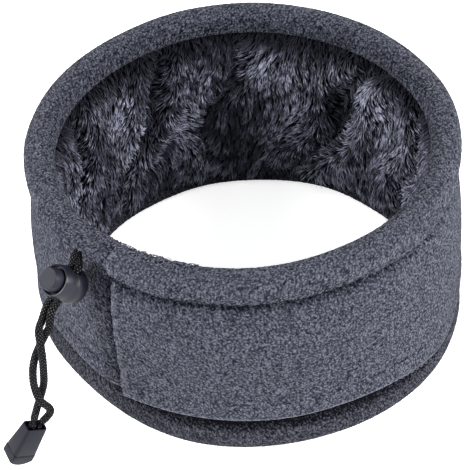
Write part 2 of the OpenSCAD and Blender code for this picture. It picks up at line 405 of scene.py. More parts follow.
def makeSteel():
    material, tree, shader, place = startMaterial("spring_wire")
    drawn = addNode(tree, "ShaderNodeTexNoise")
    drawn.inputs["Scale"].default_value = 3500
    tree.links.new(place, drawn.inputs["Vector"])
    colour = colourRamp(tree, drawn.outputs["Fac"], [
        (0.3, (0.36, 0.36, 0.37)), (0.7, (0.62, 0.62, 0.64)),
    ])
    tree.links.new(colour, shader.inputs["Base Color"])
    shader.inputs["Metallic"].default_value = 1
    shader.inputs["Roughness"].default_value = 0.3
    return material


fleece = makeFleece("fleece", fleeceLook)
shadedBandFleece = makeFleece("band_fleece", shadedBandLook)
plush = makePlush()
thread = makeThread()
braid = makeBraid("braid", "yarn")
plainBraid = makeBraid("braid_in_casing", "")
lockPlastic = makePlastic(
    "lock_plastic", (0.006, 0.006, 0.012), (0.012, 0.012, 0.021), 0.34, 0.26, 3400, 0.2)
buttonPlastic = makePlastic(
    "button_plastic", (0.007, 0.007, 0.014), (0.013, 0.013, 0.023), 0.42, 0.21, 3400, 0.25)
endPlastic = makePlastic(
    "end_plastic", (0.004, 0.004, 0.009), (0.008, 0.008, 0.015), 0.42, 0.15, 4600, 0.4)
springSteel = makeSteel()
print("materials are made")


# mesh helpers
def meshObject(name, verts, faces, material):
    mesh = bpy.data.meshes.new(name)
    mesh.from_pydata(verts, [], faces)
    mesh.materials.append(material)
    mesh.shade_smooth()
    piece = bpy.data.objects.new(name, mesh)
    bpy.context.collection.objects.link(piece)
    return piece


def turnOutwards(piece):
    work = bmesh.new()
    work.from_mesh(piece.data)
    bmesh.ops.recalc_face_normals(work, faces=work.faces)
    work.to_mesh(piece.data)
    work.free()


def setValues(piece, name, values):
    layer = piece.data.attributes.new(name, "FLOAT", "POINT")
    layer.data.foreach_set("value", np.asarray(values, dtype=np.float32).ravel())


def ringMesh(name, points, material):
    # points[row][column]: rows go round the cross-section and columns round the neck
    rows, columns, _ = points.shape
    index = np.arange(rows * columns).reshape(rows, columns)
    below, right = np.roll(index, -1, axis=0), np.roll(index, -1, axis=1)
    corner = np.roll(below, -1, axis=1)
    faces = np.stack([index, right, corner, below], axis=-1).reshape(-1, 4)
    piece = meshObject(name, points.reshape(-1, 3).tolist(), faces.tolist(), material)
    turnOutwards(piece)
    return piece


def bump(value, middle, width):
    return np.exp(-(((value - middle) / width) ** 2))


def softStep(value):
    return 1 / (1 + np.exp(-value))


def wrapTurn(turn):
    # the same direction, as degrees between -180 and 180
    return (turn + 180) % 360 - 180


def turnBump(turn, middle, width):
    return np.exp(-((wrapTurn(turn - middle) / width) ** 2))


def spotBump(turn, spot):
    # spot: how many millimetres, at which turn, and how wide in degrees
    size, middle, width = spot
    return size * turnBump(turn, middle, width)


def allTurns(count):
    return np.linspace(-180, 180, count, endpoint=False)


def softWaves(turn, height, count, finest, seed):
    # slow swells round the ring, from sines that close on themselves
    rng = random.Random(seed)
    total = np.zeros(np.broadcast(turn, height).shape)
    for _ in range(count):
        around = rng.randint(1, finest)
        slant = rng.uniform(-0.09, 0.09)
        size = rng.uniform(0.4, 1)
        phase = rng.uniform(0, 6.28)
        total += size * np.sin(np.radians(turn) * around + height * slant + phase)
    return total / math.sqrt(count)


def pebbles(around, along, girth, size, seed):
    # rounded curls, each in its own cell of a jittered grid that closes round the ring
    count = int(round(girth / size))
    deep = int(np.max(along) / size) + 4
    table = np.random.RandomState(seed).rand(count, deep, 2)
    u, v = around / girth * count, along / size + 1
    cellU, cellV = np.floor(u).astype(int), np.floor(v).astype(int)
    nearest, second = np.full(u.shape, 9.0), np.full(u.shape, 9.0)
    for stepU in (-1, 0, 1):
        for stepV in (-1, 0, 1):
            jitter = table[(cellU + stepU) % count, (cellV + stepV) % deep]
            far = np.hypot(cellU + stepU + jitter[..., 0] - u, cellV + stepV + jitter[..., 1] - v)
            second = np.minimum(second, np.maximum(far, nearest))
            nearest = np.minimum(nearest, far)
    edge = np.clip((second - nearest) / 0.55, 0, 1)
    return edge * edge * (3 - 2 * edge)


def polar(radius, turn, height):
    turn = np.radians(turn)
    return np.stack([radius * np.cos(turn), radius * np.sin(turn), height], axis=-1) * mm


def gridWays(points):
    # outward direction at every point of a ring mesh's grid
    alongRows = np.roll(points, -1, axis=0) - np.roll(points, 1, axis=0)
    alongColumns = np.roll(points, -1, axis=1) - np.roll(points, 1, axis=1)
    out = np.cross(alongColumns, alongRows)
    return out / np.maximum(np.linalg.norm(out, axis=-1, keepdims=True), 1e-12)


def throughPoints(a, b, c, d, t):
    # a place between b and c on a smooth line that comes from a and goes on to d
    return 0.5 * (2 * b + (c - a) * t + (2 * a - 5 * b + 4 * c - d) * t * t
                  + (3 * b - a - 3 * c + d) * t ** 3)


def lengthsAlong(points):
    return np.concatenate([[0], np.cumsum(np.linalg.norm(np.diff(points, axis=0), axis=1))])


def atLengths(points, length, at):
    return np.stack([np.interp(at, length, column) for column in points.T], axis=-1)


def smoothLine(points, count):
    # a smooth closed outline through the given points, at even steps
    points = np.array(points, float)
    n = len(points)
    fine = []
    for i in range(n):
        a, b, c, d = points[i - 1], points[i], points[(i + 1) % n], points[(i + 2) % n]
        for t in np.linspace(0, 1, 24, endpoint=False):
            fine.append(throughPoints(a, b, c, d, t))
    fine = np.array(fine + [fine[0]])
    length = lengthsAlong(fine)
    at = np.linspace(0, length[-1], count, endpoint=False)
    return atLengths(fine, length, at), at


# drawcord
cordSizes = {
    "width": 3.2,                        # all in millimetres
    "halfGap": 1.65,
    "exitShare": 0.5,                    # how much of the gap is left where they come out
    "exitTurn": -138.4,
    "exitRadius": 84.3,
    "exitHeight": 86.5,
    "yarns": 7,                          # bundles running each way round the braid
    "pitch": 9.8,                        # height of one turn of a bundle
    "relief": 0.46,
    "pinch": 0.48,                       # share of the radius lost in the buttonhole
    "pinchReach": 3.6,
    "sides": 40,
    "step": 0.22,
}
lockPlace = {"at": (-67.5, -63.5, 76), "turn": -143, "tilt": 46, "boreHeight": 2.2}
endPlace = {"at": (-85, -82.5, 21), "lean": 28, "spin": 26}

lockFrame = (
    Matrix.Translation(Vector(lockPlace["at"]) * mm)
    @ Matrix.Rotation(math.radians(lockPlace["turn"]), 4, "Z")
    @ Matrix.Rotation(math.radians(90 - lockPlace["tilt"]), 4, "Y")
)
endFrame = (
    Matrix.Translation(Vector(endPlace["at"]) * mm)
    @ Matrix.Rotation(math.radians(endPlace["lean"]), 4, "Y")
    @ Matrix.Rotation(math.radians(endPlace["spin"]), 4, "Z")
)


def exitPoint():
    turn = math.radians(cordSizes["exitTurn"])
    return Vector((
        cordSizes["exitRadius"] * math.cos(turn), cordSizes["exitRadius"] * math.sin(turn),
        cordSizes["exitHeight"],
    ))


def inLock(side, way):
    # a point on a strand inside the lock, way millimetres down the cord from its middle
    local = Vector((way, side * cordSizes["halfGap"], lockPlace["boreHeight"])) * mm
    return lockFrame @ local / mm


def strandRoute(side, nearExit, belowLock):
    apart = Vector((0.6, 0.1, -0.8)).normalized() * side * cordSizes["halfGap"]
    apart *= cordSizes["exitShare"]
    ways = (-7.5, -3.5, 0.5, 4.5, 8, 11.5)
    points = [exitPoint() + apart, Vector(nearExit)]
    points += [inLock(side, way) for way in ways]
    points += [Vector(point) for point in belowLock]
    return smoothRoute(points)


def smoothRoute(points):
    fine = []
    for i in range(len(points) - 1):
        a, b = points[max(i - 1, 0)], points[i]
        c, d = points[i + 1], points[min(i + 2, len(points) - 1)]
        for k in range(24):
            t = k / 24
            fine.append(throughPoints(a, b, c, d, t))
    fine = np.array([tuple(p) for p in fine] + [tuple(points[-1])])
    length = lengthsAlong(fine)
    at = np.linspace(0, length[-1], int(length[-1] / cordSizes["step"]) + 1)
    return atLengths(fine, length, at), at


def braidHeight(around, along):
    # 0 to 1: bundles that cross over and under each other
    turns = around * cordSizes["yarns"]
    climb = along * cordSizes["yarns"] / cordSizes["pitch"]
    one, other = turns + climb, turns - climb
    over = (np.floor(one) + np.floor(other)) % 2 == 0
    across = np.where(over, one % 1, other % 1) * 2 - 1
    lengthways = np.where(over, other % 1, one % 1) * 2 - 1
    return np.sqrt(np.clip(1 - across ** 2 * 0.92, 0, 1)) * (1 - 0.45 * lengthways ** 2)


def cordTube(name, centre, along, material, radius=None, squeezed=False):
    radius = radius or cordSizes["width"] / 2
    way = np.gradient(centre, axis=0)
    way /= np.linalg.norm(way, axis=1, keepdims=True)
    out = np.zeros_like(centre)
    start = np.cross(way[0], (0.3, 0.9, 0.1))
    out[0] = start / np.linalg.norm(start)
    for i in range(1, len(centre)):
        carried = out[i - 1] - way[i] * np.dot(out[i - 1], way[i])
        out[i] = carried / np.linalg.norm(carried)
    up = np.cross(way, out)
    sides = cordSizes["sides"]
    around = np.arange(sides) / sides
    height = braidHeight(around[None, :], along[:, None])
    fromEnd = np.minimum(along - along[0], along[-1] - along)
    inside = np.clip(1 - fromEnd / (radius * 0.8), 0, 1)
    taper = np.sqrt(np.clip(1 - inside ** 2, 0.02, 1))
    if squeezed:                         # the buttonhole pinches the soft braid
        taper = taper * (1 - cordSizes["pinch"] * np.exp(-((along / cordSizes["pinchReach"]) ** 2)))
    reach = (radius - cordSizes["relief"] * (1 - height)) * taper[:, None]
    angle = around * 2 * math.pi
    ring = np.cos(angle)[None, :, None] * out[:, None] + np.sin(angle)[None, :, None] * up[:, None]
    points = centre[:, None] + ring * reach[..., None]
    rings = len(centre)
    index = np.arange(rings * sides).reshape(rings, sides)
    right = np.roll(index, -1, axis=1)
    faces = np.stack([index[:-1], right[:-1], right[1:], index[1:]], axis=-1).reshape(-1, 4).tolist()
    faces += [index[0][::-1].tolist(), index[-1].tolist()]
    piece = meshObject(name, (points.reshape(-1, 3) * mm).tolist(), faces, material)
    turnOutwards(piece)
    setValues(piece, "yarn", height)
    return piece


strandEnds = {
    "left": {
        "side": -1, "nearExit": (-65.1, -58.4, 84.9),
        "belowLock": [
            (-78.2, -70.6, 65.6), (-79.3, -72.7, 64), (-79.7, -74.6, 62.3), (-79.4, -76.6, 58.5),
            (-79.2, -77.9, 53.4), (-79.4, -78.5, 47), (-80, -78.6, 39.8), (-81.8, -77.7, 32.6),
            (-83.6, -79.6, 28), (-85.5, -82.8, 23.5),
        ],
    },
    "right": {
        "side": 1, "nearExit": (-62.9, -59.5, 83.5),
        "belowLock": [
            (-75.5, -72.5, 64.8), (-75.9, -72.7, 63.1), (-76.9, -72.8, 61.2), (-79.4, -73.5, 56.5),
            (-81.9, -76, 52.2), (-83.4, -78.3, 46.8), (-83.5, -80.2, 40.2), (-82, -81.5, 33.8),
            (-78.6, -81.2, 27.4), (-82.6, -82.2, 22),
        ],
    },
}

for name, ends in strandEnds.items():
    centre, along = strandRoute(ends["side"], ends["nearExit"], ends["belowLock"])
    piece = cordTube("strand_" + name + "_braid", centre, along, braid, squeezed=True)
    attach(piece, "drawcord")
    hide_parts("strand_" + name)
    print("strand", name, round(along[-1], 1), "mm long")


# modelling helpers
def onlySelect(piece):
    bpy.ops.object.select_all(action="DESELECT")
    piece.select_set(True)
    bpy.context.view_layer.objects.active = piece


def editMesh(piece):
    onlySelect(piece)
    bpy.ops.object.mode_set(mode="EDIT")
    bpy.ops.mesh.select_all(action="DESELECT")


def leaveEdit():
    bpy.ops.object.mode_set(mode="OBJECT")


def selectWhere(piece, kind, test):
    # faces, edges or points are chosen by where their middle lies
    bpy.ops.mesh.select_mode(type=kind)
    bpy.ops.mesh.select_all(action="DESELECT")
    work = bmesh.from_edit_mesh(piece.data)
    work.normal_update()
    if kind == "FACE":
        chosen = [f for f in work.faces if test(f.calc_center_median() / mm, f.normal)]
    elif kind == "EDGE":
        chosen = [e for e in work.edges if test((e.verts[0].co + e.verts[1].co) / 2 / mm, e)]
    else:
        chosen = [v for v in work.verts if test(v.co / mm, v)]
    for part in chosen:
        part.select = True
    work.select_flush_mode()
    bmesh.update_edit_mesh(piece.data)


def followRings(rings, radius):
    # draws the chosen open edge along a turned outline: each ring is a radius and a height change
    for width, rise in rings:
        bpy.ops.mesh.extrude_region_move(TRANSFORM_OT_translate={"value": (0, 0, rise * mm)})
        scale = width / radius
        bpy.ops.transform.resize(value=(scale, scale, 1), center_override=(0, 0, 0))
        radius = width


def applyModifier(piece, kind, **values):
    onlySelect(piece)
    modifier = piece.modifiers.new(kind.lower(), kind)
    for name, value in values.items():
        setattr(modifier, name, value)
    bpy.ops.object.modifier_apply(modifier=modifier.name)


def cutWith(piece, cutter):
    applyModifier(piece, "BOOLEAN", operation="DIFFERENCE", solver="EXACT", object=cutter)
    bpy.data.objects.remove(cutter, do_unlink=True)


def finishPiece(piece, name, place, material, angle=35):
    piece.name = name
    piece.data.name = name
    piece.data.transform(place)
    piece.data.materials.clear()
    piece.data.materials.append(material)
    onlySelect(piece)
    bpy.ops.object.shade_smooth_by_angle(angle=math.radians(angle))
    bpy.ops.object.select_all(action="DESELECT")


def flattenTransform():
    bpy.ops.object.transform_apply(location=True, rotation=True, scale=True)


# cord lock
lockSizes = {
    "ball": 7.4,                         # radii and heights in the lock's own frame
    "neckFrom": 2.6,
    "collarTop": 8.6,
    "collar": 6.2,
    "socket": 5.5,
    "socketDepth": 2.2,
    "barrel": 4.8,
    "barrelFoot": -4.8,
    "pocket": 3,
    "pocketFoot": -6,
    "bore": 1.9,
    "boreHalf": 1.75,
    "boreLength": 8,
    "boreSteps": ((1.6, 1), (0.7, 1.05), (0.6, 1.14), (0.5, 1.22), (2.2, 1.3)),   # length and widening
}


def boreCutter():
    # an oval bar that widens where it breaks through the ball, so the mouths have soft lips
    bpy.ops.mesh.primitive_cylinder_add(
        vertices=40, radius=lockSizes["bore"] * mm, depth=lockSizes["boreLength"] * mm,
        rotation=(0, math.pi / 2, 0))
    cutter = bpy.context.object
    flattenTransform()
    editMesh(cutter)
    for side in (-1, 1):
        selectWhere(cutter, "VERT", lambda co, v: co.y * side > 0.001)
        bpy.ops.transform.translate(value=(0, side * lockSizes["boreHalf"] * mm, 0))
    for side in (-1, 1):
        selectWhere(cutter, "FACE", lambda co, n: n.x * side > 0.9)
        for rise, scale in lockSizes["boreSteps"]:
            bpy.ops.mesh.extrude_region_move(TRANSFORM_OT_translate={"value": (side * rise * mm, 0, 0)})
            bpy.ops.transform.resize(value=(1, scale, scale), center_override=(0, 0, 0))
    leaveEdit()
    cutter.location.z = lockPlace["boreHeight"] * mm
    flattenTransform()
    return cutter


def makeLockBody():
    ball = lockSizes["ball"]
    bpy.ops.mesh.primitive_uv_sphere_add(segments=96, ring_count=48, radius=ball * mm)
    body = bpy.context.object
    editMesh(body)
    bpy.ops.mesh.select_all(action="SELECT")
    bpy.ops.mesh.bisect(
        plane_co=(0, 0, lockSizes["neckFrom"] * mm), plane_no=(0, 0, 1), clear_outer=True)
    selectWhere(body, "EDGE", lambda co, e: e.is_boundary)
    neck = math.sqrt(ball ** 2 - lockSizes["neckFrom"] ** 2)
    top = lockSizes["collarTop"]
    socketFoot = top - lockSizes["socketDepth"]
    rise = top - 0.45 - lockSizes["neckFrom"]
    followRings([
        (neck - 0.35, rise * 0.3), (lockSizes["collar"] + 0.02, rise * 0.7),
        (lockSizes["collar"] - 0.13, 0.31), (lockSizes["collar"] - 0.42, 0.14),
        (lockSizes["socket"] + 0.16, 0), (lockSizes["socket"], -0.18),
        (lockSizes["socket"], socketFoot - top + 0.18), (lockSizes["barrel"], 0),
        (lockSizes["barrel"], lockSizes["barrelFoot"] - socketFoot),
        (lockSizes["pocket"], 0),
        (lockSizes["pocket"], lockSizes["pocketFoot"] - lockSizes["barrelFoot"]),
    ], neck)
    bpy.ops.mesh.edge_face_add()
    bpy.ops.mesh.select_all(action="SELECT")
    bpy.ops.mesh.normals_make_consistent(inside=False)
    leaveEdit()
    cutWith(body, boreCutter())
    finishPiece(body, "lock_body_shell", lockFrame, lockPlastic, 30)
    return body


buttonSizes = {
    "radius": 4.7, "face": 4.15, "coneFrom": 8.9, "top": 12.3, "foot": -1.4, "edge": 0.32,
    "rim": 0.1, "dish": 0.1, "dishEdge": 0.2,
    "springSeat": 1,                     # how deep the spring's seat goes into the foot
    "slotLength": 20, "slotBelow": 0.15, "slotTravel": 3.3, "slotRound": 0.6,
}


def makeLockButton():
    radius, top, foot = buttonSizes["radius"], buttonSizes["top"], buttonSizes["foot"]
    cone, face = buttonSizes["coneFrom"], buttonSizes["face"]
    bpy.ops.mesh.primitive_cylinder_add(
        vertices=80, radius=radius * mm, depth=(cone - foot) * mm,
        location=(0, 0, (cone + foot) / 2 * mm))
    button = bpy.context.object
    flattenTransform()
    editMesh(button)
    selectWhere(button, "FACE", lambda co, n: n.z > 0.9)
    bpy.ops.mesh.extrude_region_move(TRANSFORM_OT_translate={"value": (0, 0, (top - cone) * mm)})
    bpy.ops.transform.resize(value=(face / radius, face / radius, 1), center_override=(0, 0, 0))
    selectWhere(button, "EDGE", lambda co, e: e.verts[0].co.z > (top - 0.01) * mm
                and e.verts[1].co.z > (top - 0.01) * mm)
    bpy.ops.mesh.bevel(offset=buttonSizes["edge"] * mm, segments=4, affect="EDGES")
    selectWhere(button, "FACE", lambda co, n: n.z > 0.98 and co.z > top - 0.02)
    bpy.ops.mesh.inset(thickness=buttonSizes["rim"] * mm)
    bpy.ops.mesh.inset(thickness=buttonSizes["dishEdge"] * mm, depth=-buttonSizes["dish"] * mm)
    selectWhere(button, "FACE", lambda co, n: n.z < -0.9 and co.z < foot + 0.05)
    bpy.ops.mesh.inset(thickness=(radius - lockSizes["pocket"]) * mm)
    bpy.ops.mesh.extrude_region_move(
        TRANSFORM_OT_translate={"value": (0, 0, buttonSizes["springSeat"] * mm)})
    leaveEdit()
    slotFoot = lockPlace["boreHeight"] - cordSizes["width"] / 2 - buttonSizes["slotBelow"]
    slotHeight = cordSizes["width"] + buttonSizes["slotTravel"]
    halfSlot = lockSizes["boreHalf"] + lockSizes["bore"]
    bpy.ops.mesh.primitive_cube_add(size=1, location=(0, 0, (slotFoot + slotHeight / 2) * mm))
    slot = bpy.context.object
    slot.scale = (buttonSizes["slotLength"] * mm, 2 * halfSlot * mm, slotHeight * mm)
    flattenTransform()
    applyModifier(slot, "BEVEL", width=buttonSizes["slotRound"] * mm, segments=3)
    cutWith(button, slot)
    finishPiece(button, "lock_button_cap", lockFrame, buttonPlastic, 32)
    return button


lockBody = makeLockBody()
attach(lockBody, "cord_lock")
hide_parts("lock_body")
lockButton = makeLockButton()
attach(lockButton, "lock_button")
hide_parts("lock_plunger")
print("cord lock is built")


# cord end
endSizes = {
    "width": 9.6, "thick": 5.8, "length": 20, "lid": 6.2, "wall": 0.8, "round": 1.3,
    "mouthScale": 0.93, "tip": 0.70, "seam": 0.12, "flareWide": 1.06, "flareThick": 1.4,
    "edge": 0.22, "lidEdge": 2.5, "sharp": 50,       # edges sharper than this many degrees are rounded
    "plug": 1.6, "plugGap": 0.2,
}


def makeEndShell():
    foot = endSizes["lid"] - endSizes["length"]
    bpy.ops.mesh.primitive_cube_add(size=1, location=(0, 0, foot / 2 * mm))
    shell = bpy.context.object
    shell.scale = (endSizes["width"] * mm, endSizes["thick"] * mm, -foot * mm)
    flattenTransform()
    editMesh(shell)
    selectWhere(shell, "EDGE", lambda co, e: abs(e.verts[0].co.z - e.verts[1].co.z) > 5 * mm)
    bpy.ops.mesh.bevel(offset=endSizes["round"] * mm, segments=4, affect="EDGES")
    selectWhere(shell, "FACE", lambda co, n: abs(n.z) > 0.9)
    bpy.ops.mesh.inset(thickness=endSizes["wall"] * mm)
    bpy.ops.mesh.bridge_edge_loops()
    selectWhere(shell, "VERT", lambda co, v: co.z > -0.1)
    narrow = endSizes["mouthScale"]
    bpy.ops.transform.resize(value=(narrow, narrow, 1), center_override=(0, 0, 0))
    selectWhere(shell, "VERT", lambda co, v: co.z < foot + 0.1)
    flare = (endSizes["flareWide"], endSizes["flareThick"], 1)
    bpy.ops.transform.resize(value=flare, center_override=(0, 0, 0))
    leaveEdit()
    applyModifier(shell, "BEVEL", width=endSizes["edge"] * mm, segments=3, limit_method="ANGLE",
                  angle_limit=math.radians(endSizes["sharp"]))
    finishPiece(shell, "cord_end_housing", endFrame, endPlastic)
    return shell


def makeEndLid():
    width = endSizes["width"] * endSizes["flareWide"]
    thick = endSizes["thick"] * endSizes["flareThick"]
    radius, half = width * endSizes["tip"], width / 2
    seam = endSizes["lid"] - endSizes["length"] - endSizes["seam"]
    bpy.ops.mesh.primitive_cylinder_add(
        vertices=96, radius=radius * mm, depth=thick * mm,
        location=(0, 0, (radius - endSizes["length"]) * mm), rotation=(math.pi / 2, 0, 0))
    lid = bpy.context.object
    flattenTransform()
    editMesh(lid)
    cuts = [
        ((0, 0, seam * mm), (0, 0, 1)), ((half * mm, 0, 0), (1, 0, 0)),
        ((-half * mm, 0, 0), (-1, 0, 0)),
    ]
    for place, way in cuts:
        bpy.ops.mesh.select_all(action="SELECT")
        bpy.ops.mesh.bisect(plane_co=place, plane_no=way, clear_outer=True, use_fill=True)
    bpy.ops.mesh.select_all(action="SELECT")
    bpy.ops.mesh.remove_doubles(threshold=0.01 * mm)
    leaveEdit()
    applyModifier(lid, "BEVEL", width=endSizes["lidEdge"] * mm, segments=7, limit_method="ANGLE",
                  angle_limit=math.radians(endSizes["sharp"]))
    editMesh(lid)
    selectWhere(lid, "FACE", lambda co, n: n.z > 0.9 and co.z > seam - 0.3)
    bpy.ops.mesh.inset(thickness=endSizes["plugGap"] * mm)
    bpy.ops.mesh.extrude_region_move(TRANSFORM_OT_translate={"value": (0, 0, endSizes["plug"] * mm)})
    leaveEdit()
    finishPiece(lid, "cord_end_cap", endFrame, endPlastic)
    return lid


knotSizes = {
    "height": -6.5,                      # below the mouth of the cord end
    "leftTop": 1.9,
    "rightTop": 0.7,
    "bow": 0.15,                         # the ends bend towards each other
    "loop": 2.0,
    "wave": 0.25,
    "stubRadius": 1.5,
    "loopRadius": 1.55,
    "step": 0.3,
}


def makeKnot():
    # the two ends come down side by side into one overhand knot
    half, knotAt, loopSize = cordSizes["halfGap"], knotSizes["height"], knotSizes["loop"]
    turns = np.linspace(0, 2 * math.pi, 60, endpoint=False)
    pieces = []
    for side in (-1, 1):
        top = knotSizes["leftTop"] if side < 0 else knotSizes["rightTop"]
        line = np.array([(side * half, 0, z) for z in np.linspace(top, knotAt, 40)])
        line[:, 0] += side * -knotSizes["bow"] * np.sin(np.linspace(0, math.pi, 40))
        pieces.append((knotSizes["stubRadius"], line))
    loop = np.stack([
        loopSize * np.cos(turns), knotSizes["wave"] * np.sin(2 * turns), knotAt + loopSize * np.sin(turns),
    ], axis=-1)
    pieces.append((knotSizes["loopRadius"], np.vstack([loop, loop[:3]])))
    made = []
    for radius, line in pieces:
        steps = lengthsAlong(line)
        at = np.linspace(0, steps[-1], int(steps[-1] / knotSizes["step"]) + 2)
        made.append(cordTube("knot_part", atLengths(line, steps, at), at, braid, radius=radius))
    bpy.ops.object.select_all(action="DESELECT")
    for part in made:
        part.select_set(True)
    bpy.context.view_layer.objects.active = made[0]
    bpy.ops.object.join()
    knot = made[0]
    knot.name = "drawcord_knot"
    knot.data.transform(endFrame)
    bpy.ops.object.select_all(action="DESELECT")
    return knot


endShell = makeEndShell()
endLid = makeEndLid()
knot = makeKnot()
for piece, node in ((endShell, "cord_end_shell"), (endLid, "cord_end_lid"), (knot, "cord_knot")):
    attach(piece, "cord_end")
    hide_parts(node)
print("cord end is built")

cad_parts["drawcord_loop"].data.materials.clear()
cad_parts["drawcord_loop"].data.materials.append(plainBraid)
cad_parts["lock_spring"].data.materials.clear()
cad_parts["lock_spring"].data.materials.append(springSteel)


# fleece of the gaiter
tubeSizes = {
    "columns": 860,
    "shellRows": 112,
    "casingRows": 84,
    "bandRows": 70,
    "ring": 84,                          # radius that the nap is laid out on
    "inner": 80.0,
    "shellHeight": 60,
    "curl": 1.45,                        # size of the curls of the nap
    "curlHeight": 0.26,
}


# every lift, dip, swell and pull gives its millimetres, its turn and its width in degrees
grooveSizes = {"height": 78.4, "lift": (8.4, -141, 12), "dip": (1.8, -36, 14), "wave": 0.5}
hemSizes = {"height": 17.6, "lift": (9.6, -150, 21), "dip": (9.5, -25, 20), "wave": 0.6}
seamSizes = {
    "turn": -127.5,
    "lean": 0.034,                       # degrees for each millimetre of height
    "leanFrom": 54,
    "perDegree": 1.48,                   # millimetres round the shell
    "tuck": 5.2,
    "tuckWidth": 3.0,
    "fold": 1.9,
    "foldWidth": 9,
}
bodySizes = {
    "radius": 84.6,
    "widest": 42,                        # height where the shell is widest
    "barrel": 480,                       # a larger number makes the wall straighter
    "slowWave": 0.7,
    "fineWave": 0.28,
    "exitPull": (-1.4, -141, 11),
    "hemFlare": 1.6,
    "gather": 0.3,
    "gathers": 168,
    "rightSwell": (1.9, -24, 30),
    "leftSwell": (1.2, 176, 18),
}
# painted shade along the seam, in the groove and under the hem, and painted highlights on the hem and seam
# lips, in nap units
paintedLightAmounts = {"seam": 1.1, "groove": 0.8, "underHemShadow": 1.6, "hemLipHighlight": 1.3, "seamLipHighlight": 0.4}
casingSizes = {"middle": 79, "top": 91.6, "innerFoot": 80, "seamShare": 0.18, "exitDent": 1.6}
bandSizes = {
    "radius": 82.6,
    "oval": 1.2,
    "hollow": (2.0, -141, 15),
    "leftSwell": (2.4, -174, 14),
    "rightSwell": (1.7, -30, 24),
    "wave": 0.4,
}


def grooveHeight(turn):
    # the stitched groove under the casing climbs where the drawcord comes out
    lift = spotBump(turn, grooveSizes["lift"]) - spotBump(turn, grooveSizes["dip"])
    return grooveSizes["height"] + lift + grooveSizes["wave"] * softWaves(turn, 0 * turn, 5, 6, 3)


def hemHeight(turn):
    # lower edge of the shell, which hangs over the band
    return (
        hemSizes["height"] + spotBump(turn, hemSizes["lift"]) - spotBump(turn, hemSizes["dip"])
        + hemSizes["wave"] * softWaves(turn, 0 * turn, 5, 7, 4)
    )


def fromSeam(turn, height):
    # millimetres to the right of the upright seam
    lean = seamSizes["lean"] * (height - seamSizes["leanFrom"])
    return wrapTurn(turn - seamSizes["turn"] + lean) * seamSizes["perDegree"]


def seamStep(turn, height):
    # the panel on the left of the upright seam is tucked under the one on the right
    away = fromSeam(turn, height)
    under = -seamSizes["tuck"] * np.exp(away / seamSizes["tuckWidth"])
    tucked = np.where(away < 0, under, seamSizes["fold"] * np.exp(-away / seamSizes["foldWidth"]))
    return tucked * np.clip((height - 12) / 8, 0, 1)


def bodyRadius(turn, height):
    swell = bodySizes["radius"] - (height - bodySizes["widest"]) ** 2 / bodySizes["barrel"]
    slow = softWaves(turn, height, 7, 5, 11) * bodySizes["slowWave"]
    slow = slow + softWaves(turn, height, 9, 13, 12) * bodySizes["fineWave"]
    pull = spotBump(turn, bodySizes["exitPull"]) * bump(height, 84, 10)
    pull = pull + bodySizes["hemFlare"] * bump(height, hemHeight(turn) + 2, 8)
    wander = 2 * softWaves(turn, 0 * turn, 6, 40, 13)
    gathers = bodySizes["gather"] * np.sin(np.radians(turn) * bodySizes["gathers"] + wander)
    pull = pull + gathers * bump(height, grooveHeight(turn) - 4, 4)
    right = spotBump(turn, bodySizes["rightSwell"]) * bump(height, 22, 36)
    left = spotBump(turn, bodySizes["leftSwell"]) * bump(height, 50, 26)
    return swell + slow + pull + right + left + seamStep(turn, height)


def addNap(points, along, turn, seed, height, size):
    around = np.radians(turn) % (2 * math.pi) * tubeSizes["ring"]
    wander = np.stack([softWaves(turn, along * 3, 8, 90, seed + k) for k in (1, 2)])
    girth = 2 * math.pi * tubeSizes["ring"]
    curls = pebbles((around + 0.5 * wander[0]) % girth, along + 3 + 0.5 * wander[1], girth, size, seed)
    small = pebbles(around % girth, along + 3, girth, size * 0.62, seed + 5)
    nap = 0.65 * curls + 0.35 * small
    return points + gridWays(points) * (nap - 0.6)[..., None] * height * mm, nap


def paintShadeAndHighlight(nap, turn, height, seam=1.0):
    # painted shade on the nap value: darker left of the upright seam, in the groove under the casing and
    # under the hem, with painted highlights on the hem's and the seam's lips
    away = fromSeam(turn, height)
    seamShade = 0.55 * np.exp(-np.abs(away) / 3.4) + 0.9 * np.exp(-np.abs(away) / 0.8)
    left = np.where(away < 0.2, seamShade, 0)
    onPanel = softStep((height - hemHeight(turn)) / 0.8)
    lip = paintedLightAmounts["hemLipHighlight"] * bump(height, hemHeight(turn) + 1.0, 1.2)
    lip = lip + paintedLightAmounts["seamLipHighlight"] * bump(away, 1.2, 1.0) * onPanel
    groove = bump(height, grooveHeight(turn) - 0.4, 2.4)
    shadow = 7.5 + 0.9 * (hemHeight(turn) - 16)
    underHemShadow = np.clip(1 - (hemHeight(turn) - height) / shadow, 0, 1) ** 0.8 * (1 - onPanel)
    lip = lip * np.clip(1 - left * 2, 0, 1)
    nap = nap + lip * onPanel - paintedLightAmounts["seam"] * seam * left * onPanel
    return nap - paintedLightAmounts["groove"] * groove - paintedLightAmounts["underHemShadow"] * underHemShadow


